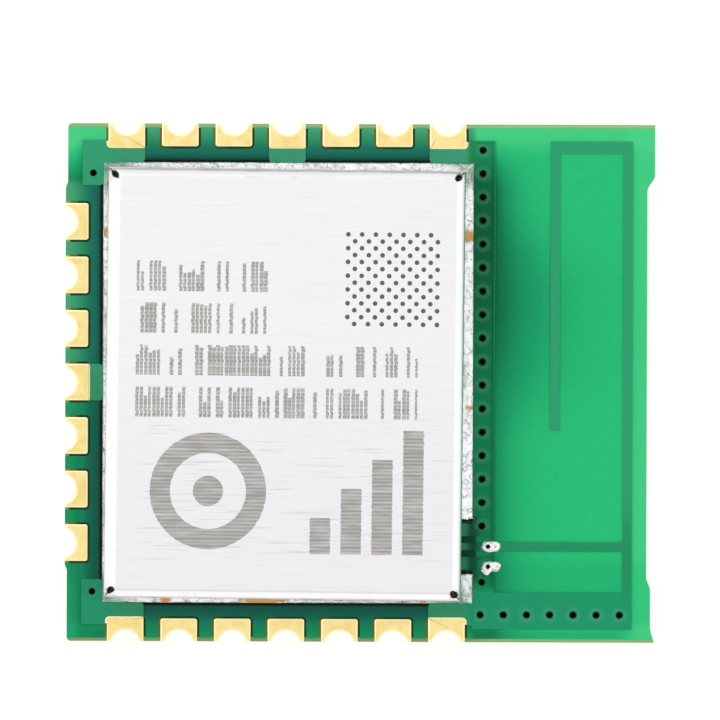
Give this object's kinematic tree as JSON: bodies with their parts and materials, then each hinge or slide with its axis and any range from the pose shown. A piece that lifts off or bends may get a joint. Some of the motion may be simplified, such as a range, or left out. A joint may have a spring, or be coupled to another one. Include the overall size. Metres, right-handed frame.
{
  "type": "wifi module",
  "caption": "Flat radio module: green board with gold half-hole edge terminals, a folded shield can over the radio parts and a printed antenna at one end.",
  "frame": {"origin": "centre of the underside of the board, where it lies on its host board", "axes": "+X along the board towards the antenna end, +Y across the board towards the upper row of terminals, +Z out of the top of the shield can"},
  "size_m": [0.0164, 0.0144, 0.0024],
  "materials": {
    "laminate": "cloudy green glass-fibre laminate with pale cut edges",
    "solder_mask": "glossy green solder mask that shows the copper below it",
    "copper": "rolled copper foil",
    "plated_copper": "gold-flashed plated copper",
    "gold_plate": "satin gold over nickel",
    "shield_metal": "bright tinned sheet with fine rolling lines",
    "solder": "bright reflowed tin solder",
    "chip_silicon": "matt dark die back",
    "dark_ceramic": "dark alumina",
    "ferrite": "matt dark ferrite",
    "tinned_end": "tin-plated metal ends",
    "pale_ceramic": "pale glass ceramic",
    "tan_ceramic": "tan fired ceramic",
    "resistor_black": "black glaze"
  },
  "bodies": {
    "root": {"board": "laminate", "mask_top": "solder_mask", "mask_bottom": "solder_mask", "ground_pour": "copper", "ground_plane": "copper", "antenna_trace": "copper", "radio_line": "copper", "via_barrels": "plated_copper", "shield_land": "gold_plate", "shield_can": "shield_metal", "shield_solder": "solder", "tune_lands": "gold_plate", "tune_solder_1": "solder", "tune_solder_2": "solder", "part_lands": "gold_plate", "radio_chip": "chip_silicon", "chip_balls": "solder", "crystal_base": "dark_ceramic", "crystal_lid": "shield_metal", "choke_core": "ferrite", "choke_ends": "tinned_end", "band_filter": "pale_ceramic", "filter_ends": "tinned_end", "capacitor_ends": "tinned_end", "resistor_ends": "tinned_end", "terminal_01": "gold_plate", "terminal_02": "gold_plate", "terminal_03": "gold_plate", "terminal_04": "gold_plate", "terminal_05": "gold_plate", "terminal_06": "gold_plate", "terminal_07": "gold_plate", "terminal_08": "gold_plate", "terminal_09": "gold_plate", "terminal_10": "gold_plate", "terminal_11": "gold_plate", "terminal_12": "gold_plate", "terminal_13": "gold_plate", "terminal_14": "gold_plate", "terminal_15": "gold_plate", "terminal_16": "gold_plate", "terminal_17": "gold_plate", "terminal_18": "gold_plate", "terminal_19": "gold_plate", "terminal_20": "gold_plate", "terminal_21": "gold_plate", "capacitor_01": "tan_ceramic", "capacitor_02": "tan_ceramic", "capacitor_03": "tan_ceramic", "capacitor_04": "tan_ceramic", "capacitor_05": "tan_ceramic", "capacitor_06": "tan_ceramic", "capacitor_07": "tan_ceramic", "capacitor_08": "tan_ceramic", "capacitor_09": "tan_ceramic", "capacitor_10": "tan_ceramic", "resistor_01": "resistor_black", "resistor_02": "resistor_black", "resistor_03": "resistor_black"}
  },
  "joints": []
}
